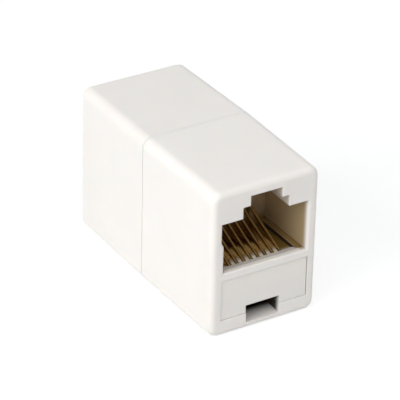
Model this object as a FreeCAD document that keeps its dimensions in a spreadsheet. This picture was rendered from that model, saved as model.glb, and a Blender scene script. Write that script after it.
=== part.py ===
import FreeCAD, Part
import math
import os

import Sketcher
from FreeCAD import Placement, Rotation, Vector

# In-line coupler for two 8-way modular plugs, in millimetres.
# The front port looks towards -Y, +Z is up and the coupler rests on Z = 0.
# Each half is modelled with its port towards -Y. The rear half is the same
# design turned half a turn about Z.

SIZES = [
    # outer body: two drafted halves that meet at a seam half way along
    ("body_length", 32.0, "end face to end face"),
    ("body_width", 15.1, "width at the end faces"),
    ("body_height", 20.0, "height at the end faces"),
    ("side_draft", 0.24, "how much further out each side is at the seam"),
    ("top_draft", 0.14, "how much higher the roof is at the seam"),
    ("long_edge_radius", 1.3, "rounding of the four long edges"),
    ("face_edge_radius", 0.8, "rounding round each end face"),
    ("seam_gap", 0.06, "half the width of the groove along the seam"),
    ("seam_depth", 0.15, "depth of that groove in the sides"),
    # walls
    ("face_wall", 1.2, "thickness of the end face"),
    ("floor_wall", 0.9, "thickness of the floor"),
    ("roof_wall", 1.4, "thickness of the roof"),
    ("port_wall", 1.52, "thickness of each side beside the plug"),
    ("bay_wall", 1.35, "thickness of each side beside the carrier"),
    # port
    ("port_bottom", 8.8, "top of the lip under the plug"),
    ("latch_room", 1.53, "height of the wide part of the notch above the plug"),
    ("latch_width", 6.55, "channel for the plug's latch"),
    ("tab_room", 1.35, "height of the narrow part of the notch"),
    ("tab_width", 4.5, "narrow part of the notch, for the latch's tab"),
    ("port_edge_radius", 0.4, "rounding of the port's upright edges"),
    ("guide_rib", 0.3, "width of the guide rib along the port's left wall"),
    ("guide_height", 3.65, "guide rib, from the lip to its bevel"),
    ("guide_bevel", 0.55, "height of the bevel on top of the guide rib"),
    ("plug_depth", 9.5, "end face to the back of the plug cavity"),
    ("rail_width", 0.5, "ledge along each side under the plug"),
    ("rail_bevel", 0.25, "bevel along the ledges"),
    # lip and window
    ("lip_height", 1.0, "bar between the port and the window"),
    ("lip_flat", 0.7, "level part of the lip, front to back"),
    ("lip_bevel", 0.12, "bevel along the front of the lip"),
    ("ramp_angle", 20.0, "fall of the ramp behind the lip, in degrees"),
    ("window_bottom", 2.2, "lower edge of the window for the carrier"),
    ("window_shift", 0.12, "offset of the window in the face"),
    ("slot_width", 4.8, "key slot under the window"),
    ("slot_top", 3.3, "roof of the key slot"),
    # joint between the halves
    ("tongue_length", 1.4, "reach of the tongue past the seam"),
    ("tongue_wall", 0.75, "thickness of the tongue at sides and roof"),
    ("tongue_floor", 0.4, "thickness of the tongue at the floor"),
    ("joint_clearance", 0.05, "play round the tongue"),
    # carrier
    ("fit_clearance", 0.05, "play between a carrier and its housing"),
    ("panel_recess", 0.12, "how far the carrier's front lies behind the face"),
    ("panel_gap", 0.12, "gap at one side of the carrier's front"),
    ("deck_drop", 0.75, "top of the lip to the floor of the plug cavity"),
    ("deck_gap", 0.15, "gap between the deck and the ledge beside it"),
    ("comb_depth", 2.2, "end face to the front of the comb"),
    ("wedge_length", 0.8, "wedge at the front of each rib of the comb"),
    ("wedge_rise", 0.35, "how far each wedge rises from the ramp towards the back"),
    ("rib_drop", 0.4, "how far the ribs lie below the deck behind their wedges"),
    ("well_start", 6.3, "end face to the front of the contact well"),
    ("well_margin", 0.07, "contact well beyond the contacts' pitch, each side"),
    ("well_drop", 2.05, "depth of the contact well"),
    ("well_undercut", 0.7, "how far the well runs under the back wall"),
    ("back_wall", 1.3, "thickness of the wall behind the plug"),
    ("tooth_rise", 1.1, "deck to the lower ends of the teeth in the back wall"),
    ("tooth_height", 3.6, "height of those teeth"),
    ("tail_room", 2.5, "recess for the contact tails, front to back"),
    # contacts
    ("contact_pitch", 1.02, "spacing of the contacts"),
    ("contact_size", 0.42, "eight-sided contact wire, across its flats"),
    ("contact_angle", 22.8, "slope of the spring leg, in degrees"),
    ("contact_clearance", 0.05, "play round each contact in its slot"),
    ("run_drop", 1.24, "deck to the middle of the contacts' straight run"),
    ("bend_radius", 0.6, "bend under the ramp, at the wire's middle"),
    ("jog_radius", 0.6, "bends of a stepped tail, at the wire's middle"),
    ("jog_angle", 45.0, "slope of a stepped tail, in degrees"),
    ("row_spacing", 1.6, "distance between the two rows of tails"),
    ("tail_reach", 0.5, "how far a tail stands out of the board"),
    ("tip_overlap", 0.6, "how far the spring leg enters the back wall"),
    # board
    ("board_thickness", 1.0, "link board, front to back"),
    ("board_height", 12.0, "link board, bottom to top"),
    ("hole_clearance", 0.08, "play round a tail in its hole"),
]
CONTACTS = 8
TOUCHING = 0.01
HALF_TURN = Placement(Vector(), Rotation(Vector(0, 0, 1), 180))


class Dim:
    """A length that carries its value and its formula in the sheet."""

    def __init__(self, value, formula=None):
        self.value = float(value)
        self.formula = formula or repr(self.value)

    def joined(self, other, sign, value):
        return Dim(value, "(%s %s %s)" % (self.formula, sign, other.formula))

    def __add__(self, other):
        other = as_dim(other)
        return self.joined(other, "+", self.value + other.value)

    def __sub__(self, other):
        other = as_dim(other)
        return self.joined(other, "-", self.value - other.value)

    def __mul__(self, other):
        other = as_dim(other)
        return self.joined(other, "*", self.value * other.value)

    def __truediv__(self, other):
        other = as_dim(other)
        return self.joined(other, "/", self.value / other.value)

    def __neg__(self):
        return self * -1.0


def as_dim(length):
    return length if isinstance(length, Dim) else Dim(length)


def tan(angle):
    return Dim(math.tan(math.radians(angle.value)), "tan(%s)" % angle.formula)


def cos(angle):
    return Dim(math.cos(math.radians(angle.value)), "cos(%s)" % angle.formula)


class Sizes:
    """The driving sizes, kept in a sheet and read as Dim attributes."""

    def __init__(self, document):
        sheet = document.addObject("Spreadsheet::Sheet", "Sizes")
        for row, (alias, value, meaning) in enumerate(SIZES, start=1):
            sheet.set("A%d" % row, alias)
            sheet.set("B%d" % row, str(value))
            sheet.set("C%d" % row, meaning)
            sheet.setAlias("B%d" % row, alias)
            setattr(self, alias, Dim(value, "Sizes." + alias))
        document.recompute()


doc = FreeCAD.newDocument("InlineCoupler")
S = Sizes(doc)

# Places that more than one piece shares
ZERO = Dim(0)
EIGHTH = Dim(45)
HALF_LENGTH = S.body_length / 2
ROOF = S.body_height - S.roof_wall
PORT_TOP = ROOF - S.latch_room - S.tab_room
PORT_HALF = S.body_width / 2 - S.port_wall
WINDOW_HALF = S.body_width / 2 - S.bay_wall
WINDOW_TOP = S.port_bottom - S.lip_height
BASE_TOP = WINDOW_TOP - S.fit_clearance
BASE_FRONT = S.face_wall + S.fit_clearance
WELL_END = S.plug_depth + S.fit_clearance
CARRIER_BACK = HALF_LENGTH - S.board_thickness / 2 - S.fit_clearance
TAIL_FRONT = CARRIER_BACK - S.tail_room
INNER_HALF = WINDOW_HALF - S.fit_clearance
DECK_WIDTH = (PORT_HALF - S.rail_width) * 2
DECK_TOP = S.port_bottom - S.deck_drop
WELL_FLOOR = DECK_TOP - S.well_drop
COMB_LOW = DECK_TOP + S.tooth_rise
COMB_WIDTH = S.contact_size + S.contact_clearance * 2
RUN_HEIGHT = DECK_TOP - S.run_drop
LOW_ROW = RUN_HEIGHT - S.row_spacing
FIRST_CONTACT = S.contact_pitch * (-(CONTACTS - 1) / 2)


def at_depth(depth):
    """The Y of a point that lies this far behind the front end face."""
    return depth - HALF_LENGTH


def ramp_height(depth):
    """The height of the ramp behind the lip, at this depth."""
    return S.port_bottom - (depth - S.lip_flat) * tan(S.ramp_angle)


def spring_corner_depth():
    """Where the middle lines of the spring leg and the straight run would meet."""
    centre = BASE_FRONT + S.contact_clearance + S.contact_size / 2 + S.bend_radius
    return centre - S.bend_radius / tan(S.contact_angle / 2)


def spring_height(depth):
    """The height of the spring leg's middle line at this depth."""
    return RUN_HEIGHT + (depth - spring_corner_depth()) * tan(S.contact_angle)


# --- sketches and features -------------------------------------------------

def new_body(name):
    body = doc.addObject("PartDesign::Body", name)
    body.Label = name
    return body


def origin_part(body, role):
    return next(item for item in body.Origin.OriginFeatures if item.Role == role)


def new_sketch(body, name, plane, offset=ZERO):
    """A sketch on one of the body's planes, moved along its normal.

    On XZ_Plane it is seen from the front and moves towards -Y, on YZ_Plane
    from the right and moves towards +X, on XY_Plane from above and moves up.
    """
    sketch = body.newObject("Sketcher::SketchObject", name)
    sketch.AttachmentSupport = [(origin_part(body, plane), "")]
    sketch.MapMode = "FlatFace"
    sketch.AttachmentOffset = Placement(Vector(0, 0, offset.value), Rotation())
    sketch.setExpression("AttachmentOffset.Base.z", offset.formula)
    return sketch


def constrain(sketch, name, kind, *rest):
    """Add a named constraint whose last argument is a Dim from the sheet."""
    geometry, length = rest[:-1], as_dim(rest[-1])
    index = sketch.addConstraint(Sketcher.Constraint(kind, *geometry, length.value))
    sketch.renameConstraint(index, name)
    sketch.setExpression("Constraints." + name, length.formula)


def outline(sketch, name, corners):
    """A closed outline of straight lines through (across, up) corners."""
    points = [(as_dim(across), as_dim(up)) for across, up in corners]
    first = sketch.GeometryCount
    count = len(points)
    for start, end in zip(points, points[1:] + points[:1]):
        sketch.addGeometry(Part.LineSegment(
            Vector(start[0].value, start[1].value, 0),
            Vector(end[0].value, end[1].value, 0)))
    for step in range(count):
        follower = first + (step + 1) % count
        sketch.addConstraint(Sketcher.Constraint(
            "Coincident", first + step, 2, follower, 1))
    for step, (across, up) in enumerate(points):
        line = first + step
        constrain(sketch, "%s%dx" % (name, step), "DistanceX", -1, 1, line, 1, across)
        constrain(sketch, "%s%dy" % (name, step), "DistanceY", -1, 1, line, 1, up)


def rectangle(sketch, name, left, right, low, high):
    outline(sketch, name, [(left, low), (right, low), (right, high), (left, high)])


def arc_at(before, corner, after, radius):
    """The arc of this radius that rounds the corner between two points."""
    inward, outward = (corner - before).normalize(), (after - corner).normalize()
    half_turn = inward.getAngle(outward) / 2
    setback = radius * math.tan(half_turn)
    inside = (outward - inward).normalize()
    middle = corner + inside * (radius / math.cos(half_turn) - radius)
    return Part.Arc(corner - inward * setback, middle, corner + outward * setback)


def nearer_end(sketch, geometry, point):
    """1 for the start of this arc or 2 for its end, whichever is at the point."""
    to_start = sketch.getPoint(geometry, 1).distanceToPoint(point)
    to_end = sketch.getPoint(geometry, 2).distanceToPoint(point)
    return 1 if to_start < to_end else 2


def place(sketch, name, geometry, end, across, up):
    constrain(sketch, name + "x", "DistanceX", -1, 1, geometry, end, across)
    constrain(sketch, name + "y", "DistanceY", -1, 1, geometry, end, up)


def rounded_path(sketch, corners, radii):
    """Straight runs through the corners, each inner corner rounded by an arc.

    Each inner corner stays in the sketch as a point that both its runs pass.
    """
    points = [Vector(across.value, up.value, 0) for across, up in corners]
    arcs = [arc_at(*points[step:step + 3], radius.value) for step, radius in enumerate(radii)]
    starts = points[:1] + [arc.toShape().Vertexes[1].Point for arc in arcs]
    ends = [arc.toShape().Vertexes[0].Point for arc in arcs] + points[-1:]
    runs = [sketch.addGeometry(Part.LineSegment(start, end))
            for start, end in zip(starts, ends)]
    place(sketch, "start", runs[0], 1, *corners[0])
    place(sketch, "end", runs[-1], 2, *corners[-1])
    for step, (arc, radius) in enumerate(zip(arcs, radii)):
        bend = sketch.addGeometry(arc)
        entry = nearer_end(sketch, bend, ends[step])
        sketch.addConstraint(Sketcher.Constraint("Tangent", runs[step], 2, bend, entry))
        sketch.addConstraint(Sketcher.Constraint(
            "Tangent", runs[step + 1], 1, bend, 3 - entry))
        corner = sketch.addGeometry(Part.Point(points[step + 1]), True)
        place(sketch, "corner%d" % step, corner, 1, *corners[step + 1])
        for run in runs[step:step + 2]:
            sketch.addConstraint(Sketcher.Constraint("PointOnObject", corner, 1, run))
        constrain(sketch, "bend%d" % step, "Radius", bend, radius)


def eight_sided(sketch, name, across, up, size):
    """An even eight-sided outline with level and upright flats, this far apart."""
    half = size / 2
    corner = half * tan(EIGHTH / 2)
    outline(sketch, name, [
        (across + half_x * side, up + half_z * height)
        for side, height, half_x, half_z in (
            (1, -1, corner, half), (1, -1, half, corner), (1, 1, half, corner),
            (1, 1, corner, half), (-1, 1, corner, half), (-1, 1, half, corner),
            (-1, -1, half, corner), (-1, -1, corner, half))])


def add_feature(body, kind, name, sketch, length, reversed_way, symmetric):
    feature = body.newObject("PartDesign::" + kind, name)
    feature.Profile = sketch
    feature.setExpression("Length", length.formula)
    feature.Reversed = reversed_way
    if symmetric:
        feature.SideType = "Symmetric"
    sketch.Visibility = False
    return feature


def pad(body, name, sketch, length, reversed_way=False, symmetric=False):
    """Pad a sketch along its normal, or the other way when reversed."""
    feature = add_feature(body, "Pad", name, sketch, length, reversed_way, symmetric)
    doc.recompute()
    return feature


def pocket(body, name, sketch, length, reversed_way=False, symmetric=False):
    """Cut against the sketch's normal, or along it when reversed."""
    before = body.Shape.Volume
    feature = add_feature(body, "Pocket", name, sketch, length, reversed_way, symmetric)
    doc.recompute()
    if not body.Shape.Volume < before:
        raise RuntimeError("%s of %s cuts nothing" % (name, body.Label))
    return feature


def edges_where(feature, test):
    return ["Edge%d" % number for number, edge in enumerate(feature.Shape.Edges, start=1)
            if test(edge)]


def dress(body, kind, name, base, edges, measure, radius):
    """Add a Fillet or Chamfer on the named edges of the base feature."""
    feature = body.newObject("PartDesign::" + kind, name)
    feature.Base = (base, edges)
    feature.setExpression(measure, radius.formula)
    doc.recompute()
    return feature


def row_of_contacts(body, name, original):
    """Repeat a feature across all the contacts, along X."""
    pattern = body.newObject("PartDesign::LinearPattern", name)
    pattern.Originals = [original]
    pattern.Direction = (origin_part(body, "X_Axis"), [""])
    pattern.Mode = "Spacing"
    pattern.Occurrences = CONTACTS
    pattern.setExpression("Offset", S.contact_pitch.formula)
    body.Tip = pattern
    doc.recompute()
    return pattern


# --- housings --------------------------------------------------------------

def lies_at(edge, y):
    return all(abs(vertex.Point.y - y.value) < 1e-4 for vertex in edge.Vertexes)


def runs_lengthwise(edge):
    ends = [vertex.Point for vertex in edge.Vertexes]
    return len(ends) == 2 and abs(ends[0].y - ends[1].y) > HALF_LENGTH.value / 2


def outer_block(body):
    """The drafted block of one half, with its outer edges rounded."""
    at_face = S.body_width / 2
    at_seam = at_face + S.side_draft
    seam_height = S.body_height + S.top_draft
    plan = new_sketch(body, "PlanSketch", "XY_Plane")
    outline(plan, "p", [(-at_face, -HALF_LENGTH), (at_face, -HALF_LENGTH),
                        (at_seam, ZERO), (-at_seam, ZERO)])
    pad(body, "Block", plan, seam_height)
    slope = new_sketch(body, "SlopeSketch", "YZ_Plane")
    outline(slope, "s", [(-HALF_LENGTH, S.body_height), (ZERO, seam_height),
                         (-HALF_LENGTH, seam_height)])
    roofed = pocket(body, "RoofSlope", slope, at_seam * 2, symmetric=True)
    rounded = dress(body, "Fillet", "LongEdges", roofed,
                    edges_where(roofed, runs_lengthwise), "Radius", S.long_edge_radius)
    face_edges = edges_where(rounded, lambda edge: lies_at(edge, -HALF_LENGTH))
    dress(body, "Fillet", "FaceEdges", rounded, face_edges, "Radius", S.face_edge_radius)
    cut_seam_groove(body, at_seam, seam_height)


def cut_seam_groove(body, at_seam, seam_height):
    """A shallow groove along the sides that fades out on the rounded edges."""
    side, low, high = at_seam - S.seam_depth, -S.seam_gap / 2, seam_height + S.seam_gap / 2
    sketch = new_sketch(body, "SeamSketch", "XZ_Plane")
    start = (ZERO, low)
    corners = [start, (side, low), (side, high), (-side, high), (-side, low), start]
    rounded_path(sketch, corners, [S.long_edge_radius] * 4)
    rectangle(sketch, "o", -at_seam * 2, at_seam * 2, -at_seam, seam_height + at_seam)
    pocket(body, "SeamGroove", sketch, S.seam_gap, reversed_way=True)


def cut_lengthwise(body, name, left, right, low, high, front, back=HALF_LENGTH):
    """Cut a rectangular channel between two depths behind the face."""
    sketch = new_sketch(body, name + "Sketch", "XZ_Plane", HALF_LENGTH - back)
    rectangle(sketch, "c", left, right, low, high)
    return pocket(body, name, sketch, back - front, reversed_way=True)


def cut_port(body):
    """The stepped port: plug body, latch and the latch's tab."""
    latch, tab = S.latch_width / 2, S.tab_width / 2
    latch_top = PORT_TOP + S.latch_room
    notch = [(PORT_HALF, PORT_TOP), (latch, PORT_TOP), (latch, latch_top),
             (tab, latch_top), (tab, ROOF)]
    other_side = [(-across, up) for across, up in reversed(notch)]
    guide_side = S.guide_rib - PORT_HALF
    guide_top = S.port_bottom + S.guide_height
    guide = [(-PORT_HALF, guide_top + S.guide_bevel), (guide_side, guide_top),
             (guide_side, S.port_bottom)]
    sketch = new_sketch(body, "PortSketch", "XZ_Plane")
    outline(sketch, "p", [(PORT_HALF, S.port_bottom)] + notch + other_side + guide)
    cut = pocket(body, "Port", sketch, HALF_LENGTH, reversed_way=True)

    def beside_the_plug(edge):
        ends = [vertex.Point for vertex in edge.Vertexes]
        return (lies_at(edge, -HALF_LENGTH)
                and latch.value < min(abs(end.x) for end in ends)
                and max(abs(end.x) for end in ends) < PORT_HALF.value + TOUCHING
                and abs(ends[0].z - ends[-1].z) > TOUCHING)

    dress(body, "Fillet", "PortEdges", cut, edges_where(cut, beside_the_plug), "Radius",
          S.port_edge_radius)
    cut_lengthwise(body, "LatchChannel", -latch, latch, PORT_TOP, ROOF, S.face_wall)


def cut_lip(body):
    """The front of the lip is bevelled and its back falls towards the comb."""
    ramp = new_sketch(body, "RampSketch", "YZ_Plane")
    outline(ramp, "r", [
        (at_depth(S.lip_flat), S.port_bottom),
        (at_depth(S.face_wall), ramp_height(S.face_wall)),
        (at_depth(S.face_wall), S.port_bottom)])
    pocket(body, "Ramp", ramp, DECK_WIDTH, symmetric=True)
    bevel = new_sketch(body, "LipSketch", "YZ_Plane")
    outline(bevel, "b", [
        (at_depth(ZERO), S.port_bottom - S.lip_bevel),
        (at_depth(S.lip_bevel), S.port_bottom), (at_depth(ZERO), S.port_bottom)])
    pocket(body, "LipBevel", bevel, PORT_HALF * 2 + S.port_edge_radius, symmetric=True)


def joint_ring(sketch, grow):
    """The outer edge of the tongue, grown by a clearance."""
    side = WINDOW_HALF + S.tongue_wall + grow
    rectangle(sketch, "o", -side, side, S.floor_wall - S.tongue_floor - grow,
              ROOF + S.tongue_wall + grow)


def bevel_the_rails(body):
    sketch = new_sketch(body, "RailSketch", "XZ_Plane", HALF_LENGTH - S.plug_depth)
    inner = DECK_WIDTH / 2
    for name, side in (("l", -1), ("r", 1)):
        outline(sketch, name, [
            (inner * side, S.port_bottom - S.rail_bevel),
            ((inner + S.rail_bevel) * side, S.port_bottom), (inner * side, S.port_bottom)])
    pocket(body, "RailBevels", sketch, S.plug_depth - S.face_wall, reversed_way=True)


def build_housing(name, with_tongue):
    body = new_body(name)
    outer_block(body)
    cut_port(body)
    cut_lengthwise(body, "Chamber", -WINDOW_HALF, WINDOW_HALF, S.floor_wall, ROOF,
                   S.plug_depth)
    cut_lengthwise(body, "CarrierBay", -WINDOW_HALF, WINDOW_HALF, S.floor_wall, WINDOW_TOP,
                   S.face_wall)
    cut_lengthwise(body, "Throat", -DECK_WIDTH / 2, DECK_WIDTH / 2, WINDOW_TOP,
                   S.port_bottom, S.face_wall)
    bevel_the_rails(body)
    cut_lip(body)
    cut_lengthwise(body, "Window", S.window_shift - WINDOW_HALF, S.window_shift + WINDOW_HALF,
                   S.window_bottom, WINDOW_TOP, ZERO, BASE_FRONT + S.fit_clearance)
    cut_lengthwise(body, "KeySlot", -S.slot_width / 2, S.slot_width / 2, S.floor_wall,
                   S.window_bottom, ZERO, BASE_FRONT + S.fit_clearance)
    ring = new_sketch(body, "RingSketch", "XZ_Plane")
    if with_tongue:
        joint_ring(ring, ZERO)
        rectangle(ring, "i", -WINDOW_HALF, WINDOW_HALF, S.floor_wall, ROOF)
        pad(body, "Tongue", ring, S.tongue_length, reversed_way=True)
    else:
        joint_ring(ring, S.joint_clearance)
        pocket(body, "Rebate", ring, S.tongue_length + S.joint_clearance,
               reversed_way=True)
    return body


# --- carriers --------------------------------------------------------------

def carrier_blocks(body):
    """Base, front panel, deck, the comb's wedges and the back wall."""
    base = new_sketch(body, "BaseSketch", "XZ_Plane", HALF_LENGTH - CARRIER_BACK)
    rectangle(base, "b", -INNER_HALF, INNER_HALF, S.floor_wall + S.fit_clearance, BASE_TOP)
    pad(body, "Base", base, CARRIER_BACK - BASE_FRONT)
    panel = new_sketch(body, "PanelSketch", "XZ_Plane", HALF_LENGTH - BASE_FRONT)
    rectangle(panel, "p", S.window_shift - INNER_HALF,
              S.window_shift + WINDOW_HALF - S.panel_gap,
              S.window_bottom + S.fit_clearance, BASE_TOP)
    pad(body, "Panel", panel, BASE_FRONT - S.panel_recess)
    deck = new_sketch(body, "DeckSketch", "YZ_Plane")
    outline(deck, "d", [
        (at_depth(BASE_FRONT), WELL_FLOOR), (at_depth(WELL_END), WELL_FLOOR),
        (at_depth(WELL_END), DECK_TOP), (at_depth(S.comb_depth), DECK_TOP),
        (at_depth(S.comb_depth), ramp_height(S.comb_depth)),
        (at_depth(BASE_FRONT), ramp_height(BASE_FRONT))])
    pad(body, "Deck", deck, DECK_WIDTH - S.deck_gap * 2, symmetric=True)
    wedges = new_sketch(body, "WedgeSketch", "YZ_Plane")
    ramp_end = ramp_height(S.comb_depth)
    outline(wedges, "g", [
        (at_depth(S.comb_depth), WELL_FLOOR), (at_depth(S.comb_depth + S.wedge_length), WELL_FLOOR),
        (at_depth(S.comb_depth + S.wedge_length), ramp_end + S.wedge_rise),
        (at_depth(S.comb_depth), ramp_end)])
    pad(body, "Wedges", wedges, S.contact_pitch * (CONTACTS - 1), symmetric=True)
    wall = new_sketch(body, "BackWallSketch", "XZ_Plane", HALF_LENGTH - WELL_END)
    rectangle(wall, "w", -INNER_HALF, INNER_HALF, WELL_FLOOR, ROOF - S.fit_clearance)
    pad(body, "BackWall", wall, S.back_wall, reversed_way=True)


def cut_well(body):
    """The well that the spring legs are pressed into, open under the teeth.

    It starts as a shallow step behind the comb's wedges.
    """
    sketch = new_sketch(body, "WellSketch", "YZ_Plane")
    start = at_depth(S.comb_depth + S.wedge_length)
    step = at_depth(S.well_start)
    end = at_depth(WELL_END + S.well_undercut)
    rib_top = DECK_TOP - S.rib_drop
    outline(sketch, "w", [(start, rib_top), (step, rib_top), (step, WELL_FLOOR),
                          (end, WELL_FLOOR), (end, COMB_LOW), (start, COMB_LOW)])
    pocket(body, "Well", sketch, S.contact_pitch * CONTACTS + S.well_margin * 2,
           symmetric=True)


def cut_tail_recess(body):
    """Room for the stepped tails and their joints in front of the board."""
    sketch = new_sketch(body, "TailSketch", "XZ_Plane", HALF_LENGTH - CARRIER_BACK)
    half = S.contact_pitch * (CONTACTS / 2)
    rectangle(sketch, "t", -half, half, LOW_ROW - S.contact_size * 2, BASE_TOP)
    pocket(body, "TailRecess", sketch, S.tail_room, reversed_way=True)


def cut_key_channel(body):
    """The channel along the underside, behind the key slot."""
    sketch = new_sketch(body, "KeySketch", "XZ_Plane")
    half = S.slot_width / 2
    rectangle(sketch, "k", -half, half, S.floor_wall, S.slot_top)
    pocket(body, "KeyChannel", sketch, HALF_LENGTH, reversed_way=True)


def cut_combs(body):
    """The slots that guide the contacts, one row at the lip and one at the back.

    Under the ramp each slot's roof follows the spring leg.
    """
    low, high = RUN_HEIGHT - COMB_WIDTH / 2, RUN_HEIGHT + COMB_WIDTH / 2
    over_leg = COMB_WIDTH / 2 / cos(S.contact_angle)
    front = new_sketch(body, "CombSketch", "YZ_Plane", FIRST_CONTACT)
    outline(front, "f", [
        (at_depth(BASE_FRONT), low), (at_depth(TAIL_FRONT), low),
        (at_depth(TAIL_FRONT), high), (at_depth(S.well_start), high),
        (at_depth(S.well_start), S.port_bottom), (at_depth(S.comb_depth), S.port_bottom),
        (at_depth(S.comb_depth), spring_height(S.comb_depth) + over_leg),
        (at_depth(BASE_FRONT), spring_height(BASE_FRONT) + over_leg)])
    row_of_contacts(body, "CombRow",
                    pocket(body, "Comb", front, COMB_WIDTH, symmetric=True))
    back = new_sketch(body, "BackCombSketch", "YZ_Plane", FIRST_CONTACT)
    rectangle(back, "b", at_depth(WELL_END), at_depth(WELL_END + S.back_wall),
              COMB_LOW, COMB_LOW + S.tooth_height)
    row_of_contacts(body, "BackCombRow",
                    pocket(body, "BackComb", back, COMB_WIDTH, symmetric=True))


def build_carrier(name):
    body = new_body(name)
    carrier_blocks(body)
    cut_well(body)
    cut_tail_recess(body)
    cut_key_channel(body)
    cut_combs(body)
    return body


# --- contacts --------------------------------------------------------------

def build_contact(name, number):
    """One sprung contact; those with an even number have a stepped tail."""
    across = FIRST_CONTACT + S.contact_pitch * (CONTACTS - number)
    tail_end = S.board_thickness / 2 + S.tail_reach
    step_middle = at_depth(CARRIER_BACK - S.tail_room / 2)
    half_step = S.row_spacing / tan(S.jog_angle) / 2
    if number % 2:
        tail, radii = [(tail_end, RUN_HEIGHT)], [S.bend_radius]
    else:
        tail = [(tail_end, LOW_ROW), (step_middle + half_step, LOW_ROW),
                (step_middle - half_step, RUN_HEIGHT)]
        radii = [S.jog_radius, S.jog_radius, S.bend_radius]
    body = new_body(name)
    path = new_sketch(body, "PathSketch", "YZ_Plane", across)
    tip = WELL_END + S.tip_overlap
    spring = [(at_depth(spring_corner_depth()), RUN_HEIGHT), (at_depth(tip), spring_height(tip))]
    rounded_path(path, tail + spring, radii)
    section = new_sketch(body, "WireSketch", "XZ_Plane", -tail_end)
    eight_sided(section, "s", across, tail[0][1], S.contact_size)
    doc.recompute()
    wire = body.newObject("PartDesign::AdditivePipe", "Wire")
    wire.Profile = section
    wire.Spine = (path, [""])
    doc.recompute()
    return body


# --- link board ------------------------------------------------------------

def build_board(name):
    body = new_body(name)
    bottom = S.floor_wall + S.fit_clearance
    sketch = new_sketch(body, "BoardSketch", "XZ_Plane")
    rectangle(sketch, "b", -INNER_HALF, INNER_HALF, bottom, bottom + S.board_height)
    pad(body, "Board", sketch, S.board_thickness, symmetric=True)
    holes = new_sketch(body, "HoleSketch", "XZ_Plane")
    hole_size = S.contact_size + S.hole_clearance * 2
    eight_sided(holes, "u", FIRST_CONTACT, RUN_HEIGHT, hole_size)
    eight_sided(holes, "l", FIRST_CONTACT, LOW_ROW, hole_size)
    row_of_contacts(body, "HoleRows",
                    pocket(body, "Holes", holes, S.board_thickness, symmetric=True))
    return body


# --- the coupler -----------------------------------------------------------

def build_end(end, with_tongue, placement):
    """The pieces at one end of the coupler."""
    pieces = [build_housing(end + "_housing", with_tongue), build_carrier(end + "_carrier")]
    for number in range(1, CONTACTS + 1):
        pieces.append(build_contact("%s_contact_%d" % (end, number), number))
    for piece in pieces:
        piece.Placement = placement
    return pieces


def check(pieces):
    """Stop if any object failed or any piece isn't one sound solid."""
    doc.recompute()
    for item in doc.Objects:
        if "Invalid" in item.State or "Error" in item.State:
            raise RuntimeError("%s of %s failed" % (item.Name, item.TypeId))
    for piece in pieces:
        shape = piece.Shape
        if shape.isNull() or not shape.isValid() or len(shape.Solids) != 1:
            raise RuntimeError("%s isn't one valid solid" % piece.Label)


pieces = build_end("front", False, Placement())
pieces += build_end("rear", True, HALF_TURN)
pieces.append(build_board("link_board"))
check(pieces)
os.makedirs("parts", exist_ok=True)
for piece in pieces:
    piece.Shape.exportStep("parts/%s.step" % piece.Label)
    print("%-18s %8.2f mm3" % (piece.Label, piece.Shape.Volume))
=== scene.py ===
"""In-line modular coupler: finishes, light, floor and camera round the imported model."""

import math

import bpy
from mathutils import Matrix, Vector


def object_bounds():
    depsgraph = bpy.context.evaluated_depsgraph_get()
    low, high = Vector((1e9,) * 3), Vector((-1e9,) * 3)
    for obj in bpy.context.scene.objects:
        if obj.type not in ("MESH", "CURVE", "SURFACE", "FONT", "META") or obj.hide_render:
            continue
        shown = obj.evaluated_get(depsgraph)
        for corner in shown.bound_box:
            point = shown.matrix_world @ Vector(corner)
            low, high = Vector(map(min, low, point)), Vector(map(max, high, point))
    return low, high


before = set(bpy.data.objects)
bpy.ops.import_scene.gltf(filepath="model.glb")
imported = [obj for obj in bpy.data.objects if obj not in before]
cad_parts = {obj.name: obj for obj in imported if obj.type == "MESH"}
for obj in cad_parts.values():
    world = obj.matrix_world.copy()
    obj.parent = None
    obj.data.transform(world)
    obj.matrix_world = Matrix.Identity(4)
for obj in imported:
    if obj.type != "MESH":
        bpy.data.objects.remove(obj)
cad_low, cad_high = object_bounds()
CENTRE = (cad_low + cad_high) / 2
MM = 0.001
WHITE = (1.0, 1.0, 1.0)

# --- camera: angles in degrees, lens and sensor in millimetres -------------

AZIMUTH = -31.975
ELEVATION = 29.758
ROLL = 1.386
DISTANCE = 339.95 * MM
AIM_RIGHT = 0.508 * MM
AIM_UP = -0.535 * MM
LENS = 245.26
SENSOR_WIDTH = 36.0
CLIP_START = 0.01
CLIP_END = 10.0

# --- finishes --------------------------------------------------------------

IVORY = (0.880, 0.838, 0.795)
IVORY_INSERT = (0.865, 0.825, 0.782)
# the wire's crown colour is a painted highlight, and its flank colour is painted shade
GOLD_CROWN_HIGHLIGHT = (1.0, 0.80, 0.42)
GOLD_FLANK_SHADE = (0.46, 0.25, 0.07)
LAMINATE = (0.030, 0.110, 0.055)

# darkest and lightest spots, as shares of the finish's colour
PLASTIC_SPOTS = (0.985, 1.01)
GOLD_SPOTS = (0.94, 1.0)
LAMINATE_SPOTS = (0.85, 1.15)

# smoothest and roughest spots
HOUSING_ROUGHNESS = (0.35, 0.45)
CARRIER_ROUGHNESS = (0.41, 0.51)
GOLD_ROUGHNESS = (0.16, 0.22)
LAMINATE_ROUGHNESS = (0.26, 0.36)

# noise, in cells per metre
PLASTIC_CLOUDS = 140
PLASTIC_SHEEN = 900
PLASTIC_GRAIN = 5200
GOLD_CLOUDS = 160
LAMINATE_CLOTH = 2600
LAMINATE_SHEEN = 500
NOISE_ROUGHNESS = 0.55
NOISE_MIDDLE = (0.3, 0.7)

RELIEF_DEPTH = 0.004 * MM
EDGE_ROUNDING = 0.06 * MM
WIRE_ROUNDING = 0.16 * MM

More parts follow.
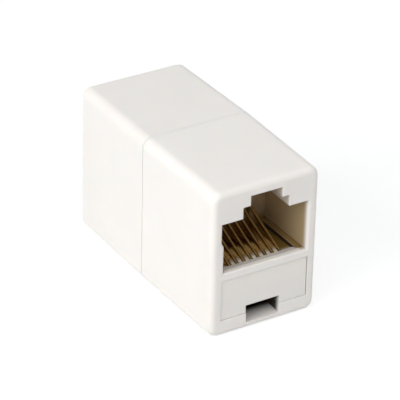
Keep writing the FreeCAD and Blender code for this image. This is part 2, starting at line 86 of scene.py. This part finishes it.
PLASTIC = {
    "IOR": 1.52,
    "Specular IOR Level": 0.45,
    "Subsurface Weight": 0.25,
    "Subsurface Radius": (1.0, 0.7, 0.42),
    "Subsurface Scale": 0.5 * MM,
}

# --- painted shade of the plastic inside the ports -------------------------

# painted shade: colours that darken and warm the ivory inside the ports, where shade
# falls; the well's front is painted lighter, where light still reaches
PORT_WALL_SHADE = (0.45, 0.335, 0.195)
PORT_LEDGE_SHADE = (0.22, 0.13, 0.04)
LEDGE_SIDE_SHADE = (0.05, 0.025, 0.012)
NOTCH_SHADE = (0.60, 0.54, 0.46)
DECK_SHADE = (0.17, 0.10, 0.018)
WELL_FRONT_SHADE = (0.95, 0.63, 0.23)
WELL_BACK_SHADE = (0.20, 0.065, 0.02)
KEY_SLOT_SHADE = (0.025, 0.018, 0.010)

# Each pair below is where a painted change of light or shade starts and where it is
# complete.

# depths behind the end face: for the walls, for what faces up between the
# ledges, for the latch notch, and from the well's front tone to its back tone
MOUTH = (0.05 * MM, 1.05 * MM)
LIT_MOUTH = (1.8 * MM, 3.0 * MM)
NOTCH_MOUTH = (0.0, 0.5 * MM)
WELL_DEPTH = (7.2 * MM, 9.8 * MM)

# distances from the middle: the ledges' inner sides
LEDGE_START = (5.35 * MM, 5.5 * MM)

# heights
KEY_SLOT_TOP = (4.0 * MM, 6.5 * MM)
DECK_TOP = (7.7 * MM, 7.95 * MM)
LEDGE_TOP = (8.25 * MM, 8.5 * MM)
BACK_WALL_START = (8.1 * MM, 10.0 * MM)
NOTCH_START = (14.6 * MM, 16.2 * MM)

# distances in from the outer faces, which keep the finish's own colour
SIDE_SKIN = (0.5 * MM, 1.0 * MM)
ROOF_SKIN = (0.9 * MM, 1.35 * MM)
UNDERSIDE_SKIN = (0.225 * MM, 0.45 * MM)

# upward share of the surface's normal: what faces up, and a wire's crown, where a
# highlight is painted
FACES_UP = (0.35, 0.8)
WIRE_CROWN = (0.58, 0.88)

# --- floor, world and lamps ------------------------------------------------

FLOOR_HALF = 1.2
FLOOR_GAP = 0.02 * MM
FLOOR_COLOUR = (0.74, 0.74, 0.74)
FLOOR_SEEN = (0.45, 0.45, 0.45)
FLOOR_LIFT = 0.66
WORLD_COLOUR = (0.97, 0.985, 1.0)
WORLD_STRENGTH = 0.42
LAMP_TINT = (0.97, 0.99, 1.0)

# azimuth and elevation in degrees, distance and size in metres, and watts
LAMPS = {
    "key": (-82, 26, 0.60, 0.45, 2.25),
    "top": (-5, 62, 0.70, 0.55, 1.22),
    "near": (-34, 38, 0.11, 0.05, 0.0125),
    "fill": (100, 8, 0.70, 0.50, 0.50),
}


class Nodes:
    """A node tree, with short ways to add nodes and join them."""

    def __init__(self, tree):
        self.tree = tree

    def fill(self, node, inputs):
        """Give each input another node's output, a number or a colour."""
        for name, value in inputs.items():
            entry = node.inputs[name]
            if isinstance(value, bpy.types.NodeSocket):
                self.tree.links.new(value, entry)
            elif entry.type == "RGBA":
                entry.default_value = (*value, 1)
            else:
                entry.default_value = value

    def add(self, kind, inputs=None, **settings):
        node = self.tree.nodes.new(kind)
        for key, value in settings.items():
            setattr(node, key, value)
        self.fill(node, inputs or {})
        return node

    def calculate(self, operation, first, second=0.0):
        """One operation on two values, each of them an output or a number."""
        return self.add("ShaderNodeMath", {0: first, 1: second},
                        operation=operation).outputs[0]

    def mix(self, factor, first, second, data_type="RGBA"):
        """The first where the factor is 0 and the second where it is 1."""
        return self.add("ShaderNodeMix", {"Factor": factor, "A": first, "B": second},
                        data_type=data_type).outputs["Result"]

    def seen_or_mirrored(self):
        """1 for camera, glossy and transmission rays, and 0 for the rest."""
        path = self.add("ShaderNodeLightPath").outputs
        seen = self.calculate("MAXIMUM", path["Is Camera Ray"], path["Is Glossy Ray"])
        return self.calculate("MAXIMUM", seen, path["Is Transmission Ray"])


class Surface(Nodes):
    """A material, with the patterns of its finishes and the masks and colours of painted
    light and shade.
    """

    def __init__(self, name):
        self.material = bpy.data.materials.new(name)
        self.material.use_nodes = True
        super().__init__(self.material.node_tree)

    def finished(self, inputs):
        """The material, once its shader has these inputs."""
        self.fill(self.tree.nodes["Principled BSDF"], inputs)
        return self.material

    # patterns

    def noise(self, scale, detail=3.0):
        """Noise over the object's own position, scale in cells per metre."""
        position = self.add("ShaderNodeTexCoord").outputs["Object"]
        inputs = {"Vector": position, "Scale": scale, "Detail": detail,
                  "Roughness": NOISE_ROUGHNESS}
        return self.add("ShaderNodeTexNoise", inputs).outputs["Fac"]

    def spread(self, pattern, low=0.0, high=1.0):
        """The pattern's middle range turned into a value from low to high."""
        start, end = NOISE_MIDDLE
        inputs = {"Value": pattern, "From Min": start, "From Max": end,
                  "To Min": low, "To Max": high}
        return self.add("ShaderNodeMapRange", inputs).outputs["Result"]

    def mottled(self, pattern, colour, shares):
        """The colour varied by the pattern between two shares of itself."""
        dark, light = (tuple(channel * share for channel in colour) for share in shares)
        return self.mix(pattern, dark, light)

    def rounded(self, radius, samples):
        """The surface's normal, as if its edges were rounded."""
        bevel = self.add("ShaderNodeBevel", {"Radius": radius}, samples=samples)
        return bevel.outputs["Normal"]

    def relief(self, pattern, normal=None):
        """The normal of a fine relief, over the one given or the surface's own."""
        inputs = {"Height": pattern, "Strength": 1.0, "Distance": RELIEF_DEPTH}
        if normal is not None:
            inputs["Normal"] = normal
        return self.add("ShaderNodeBump", inputs).outputs["Normal"]

    # places on the part

    def ramp(self, value, start, end):
        """From 0 where the value is at the start to 1 where it is at the end."""
        inputs = {"Value": value, "From Min": start, "From Max": end}
        span = self.add("ShaderNodeMapRange", inputs, interpolation_type="SMOOTHSTEP")
        return span.outputs["Result"]

    def geometry(self, name):
        """X, Y and Z of the surface's Position or Normal."""
        vector = self.add("ShaderNodeNewGeometry").outputs[name]
        return self.add("ShaderNodeSeparateXYZ", {"Vector": vector}).outputs

    def upward(self, shares):
        """1 on what faces up, 0 on upright faces and on what faces down."""
        return self.ramp(self.geometry("Normal")["Z"], *shares)

    def above(self, heights):
        """From 0 to 1 between two heights."""
        return self.ramp(self.geometry("Position")["Z"], *heights)

    def behind(self, depths):
        """From 0 to 1 between two depths behind the nearer end face."""
        out_along = self.calculate("ABSOLUTE", self.geometry("Position")["Y"])
        return self.ramp(out_along, *(cad_high.y - depth for depth in depths))

    def port_shade_mask(self):
        """Where shade is painted inside a port: 0 outside and at the mouth, and 1 within.

        On what faces up between the ledges the change comes further back, because
        light from above still falls on it there.
        """
        place = self.geometry("Position")
        out_sideways = self.calculate("ABSOLUTE", place["X"])
        between_ledges = self.ramp(out_sideways, *reversed(LEDGE_START))
        lit = self.calculate("MULTIPLY", self.upward(FACES_UP), between_ledges)
        inside = self.mix(lit, self.behind(MOUTH), self.behind(LIT_MOUTH),
                          data_type="FLOAT")
        inside = self.mix(self.above(NOTCH_START), inside, self.behind(NOTCH_MOUTH),
                          data_type="FLOAT")
        clear_of_skins = (
            self.ramp(out_sideways, *(cad_high.x - skin for skin in SIDE_SKIN)),
            self.ramp(place["Z"], *(cad_high.z - skin for skin in ROOF_SKIN)),
            self.above(UNDERSIDE_SKIN),
        )
        for clear in clear_of_skins:
            inside = self.calculate("MULTIPLY", inside, clear)
        return inside

    # painted shade inside a port

    def end_shades(self, port_shade):
        """The painted shade given, with greyer painted shade above the port in the latch
        notch and almost black painted shade below it in the key slot."""
        port_shade = self.mix(self.above(NOTCH_START), port_shade, NOTCH_SHADE)
        return self.mix(self.above(KEY_SLOT_TOP), KEY_SLOT_SHADE, port_shade)

    def housing_port_shade(self):
        """Painted shade: brown walls over darker ledges, and the ledges' inner sides
        darker still.
        """
        upright = self.mix(self.above(LEDGE_TOP), LEDGE_SIDE_SHADE, PORT_WALL_SHADE)
        return self.end_shades(self.mix(self.upward(FACES_UP), upright, PORT_LEDGE_SHADE))

    def carrier_port_shade(self):
        """Painted shade: a brown deck and back wall, and a well painted lighter at its
        front and darker towards its back.
        """
        well = self.mix(self.behind(WELL_DEPTH), WELL_FRONT_SHADE, WELL_BACK_SHADE)
        deck = self.mix(self.above(DECK_TOP), well, DECK_SHADE)
        return self.end_shades(self.mix(self.above(BACK_WALL_START), deck, PORT_WALL_SHADE))


def moulded_plastic(name, colour, roughness, port_shade):
    """Satin moulded plastic: faint mottling, fine grain and slightly soft edges.

    The given Surface method paints shade on it inside the ports.
    """
    nodes = Surface(name)
    clouds = nodes.spread(nodes.noise(PLASTIC_CLOUDS, detail=2.0))
    outer = nodes.mottled(clouds, colour, PLASTIC_SPOTS)
    edges = nodes.rounded(EDGE_ROUNDING, samples=8)
    return nodes.finished({
        # painted shade inside the ports, over the mottled ivory outside
        "Base Color": nodes.mix(nodes.port_shade_mask(), outer, port_shade(nodes)),
        "Roughness": nodes.spread(nodes.noise(PLASTIC_SHEEN, detail=4.0), *roughness),
        "Normal": nodes.relief(nodes.noise(PLASTIC_GRAIN), edges),
        **PLASTIC,
    })


def plated_metal(name, crown_highlight, flank_shade):
    """Gold over drawn wire, with a painted highlight along its crown and painted shade on
    its flanks.
    """
    nodes = Surface(name)
    clouds = nodes.spread(nodes.noise(GOLD_CLOUDS, detail=2.0))
    bright = nodes.mottled(clouds, crown_highlight, GOLD_SPOTS)
    return nodes.finished({
        # painted highlight along the crown, painted shade on the flanks
        "Base Color": nodes.mix(nodes.upward(WIRE_CROWN), flank_shade, bright),
        "Metallic": 1.0,
        "Roughness": nodes.spread(clouds, *GOLD_ROUGHNESS),
        "Normal": nodes.rounded(WIRE_ROUNDING, samples=12),
    })


def laminate(name, colour):
    """Solder mask over glass cloth: a faint weave under a smooth gloss."""
    nodes = Surface(name)
    weave = nodes.noise(LAMINATE_CLOTH, detail=1.0)
    return nodes.finished({
        "Base Color": nodes.mottled(nodes.spread(weave), colour, LAMINATE_SPOTS),
        "Roughness": nodes.spread(nodes.noise(LAMINATE_SHEEN), *LAMINATE_ROUGHNESS),
        "Normal": nodes.relief(weave),
    })


def give(material, names):
    for name in names:
        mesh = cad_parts[name].data
        mesh.materials.clear()
        mesh.materials.append(material)


def direction(azimuth, elevation):
    """Away from the object; azimuth 0 is the front port's side, 90 the right."""
    a, e = math.radians(azimuth), math.radians(elevation)
    return Vector((math.sin(a) * math.cos(e), -math.cos(a) * math.cos(e), math.sin(e)))


def put(name, data, location, rotation=None):
    """A new object in the scene, turned by a quaternion if one is given."""
    made = bpy.data.objects.new(name, data)
    bpy.context.scene.collection.objects.link(made)
    made.location = location
    if rotation is not None:
        made.rotation_mode = "QUATERNION"
        made.rotation_quaternion = rotation
    return made


def soft_lamp(name, azimuth, elevation, distance, size, power):
    """A square soft box that faces the object."""
    data = bpy.data.lights.new(name, "AREA")
    data.size = size
    data.energy = power
    data.color = LAMP_TINT
    away = direction(azimuth, elevation)
    put(name, data, CENTRE + away * distance, (-away).to_track_quat("-Z", "Y"))


def make_floor():
    """A pale floor that shows white, with a faint shadow, and bounces light."""
    mesh = bpy.data.meshes.new("floor")
    corners = [(x * FLOOR_HALF, y * FLOOR_HALF, 0)
               for x, y in ((-1, -1), (1, -1), (1, 1), (-1, 1))]
    mesh.from_pydata(corners, [], [(0, 1, 2, 3)])
    floor = put("floor", mesh, (0, 0, cad_low.z - FLOOR_GAP))
    nodes = Surface("floor")
    seen = nodes.seen_or_mirrored()
    mesh.materials.append(nodes.finished({
        "Base Color": nodes.mix(seen, FLOOR_COLOUR, FLOOR_SEEN),
        "Roughness": 1.0,
        "Specular IOR Level": 0.0,
        "Emission Color": WHITE,
        "Emission Strength": nodes.calculate("MULTIPLY", seen, FLOOR_LIFT),
    }))


def make_world():
    """Even light from all round, seen as plain white."""
    world = bpy.data.worlds.new("studio")
    bpy.context.scene.world = world
    world.use_nodes = True
    nodes = Nodes(world.node_tree)
    even = nodes.tree.nodes["Background"]
    nodes.fill(even, {"Color": WORLD_COLOUR, "Strength": WORLD_STRENGTH})
    plain = nodes.add("ShaderNodeBackground", {"Color": WHITE, "Strength": 1.0})
    either = nodes.add("ShaderNodeMixShader", {
        "Fac": nodes.seen_or_mirrored(),
        1: even.outputs["Background"],
        2: plain.outputs["Background"],
    })
    nodes.fill(nodes.tree.nodes["World Output"], {"Surface": either.outputs["Shader"]})


def make_camera():
    """The camera, aimed a little off the centre and rolled about its own axis."""
    away = direction(AZIMUTH, ELEVATION)
    right = Vector((0, 0, 1)).cross(away).normalized()
    up = away.cross(right)
    aim = CENTRE + right * AIM_RIGHT + up * AIM_UP
    roll = math.radians(ROLL)
    turned_right = right * math.cos(roll) + up * math.sin(roll)
    turned_up = up * math.cos(roll) - right * math.sin(roll)
    axes = Matrix((turned_right, turned_up, away)).transposed()
    data = bpy.data.cameras.new("camera")
    data.lens = LENS
    data.sensor_width = SENSOR_WIDTH
    data.clip_start = CLIP_START
    data.clip_end = CLIP_END
    bpy.context.scene.camera = put("camera", data, aim + away * DISTANCE,
                                   axes.to_quaternion())


give(moulded_plastic("ivory_housing", IVORY, HOUSING_ROUGHNESS,
                     Surface.housing_port_shade),
     ["front_housing", "rear_housing"])
give(moulded_plastic("ivory_carrier", IVORY_INSERT, CARRIER_ROUGHNESS,
                     Surface.carrier_port_shade),
     ["front_carrier", "rear_carrier"])
give(plated_metal("gold_plating", GOLD_CROWN_HIGHLIGHT, GOLD_FLANK_SHADE),
     [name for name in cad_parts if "_contact_" in name])
give(laminate("board_laminate", LAMINATE), ["link_board"])

for lamp, values in LAMPS.items():
    soft_lamp(lamp, *values)
make_floor()
make_world()
make_camera()
bpy.context.scene.view_settings.view_transform = "Standard"
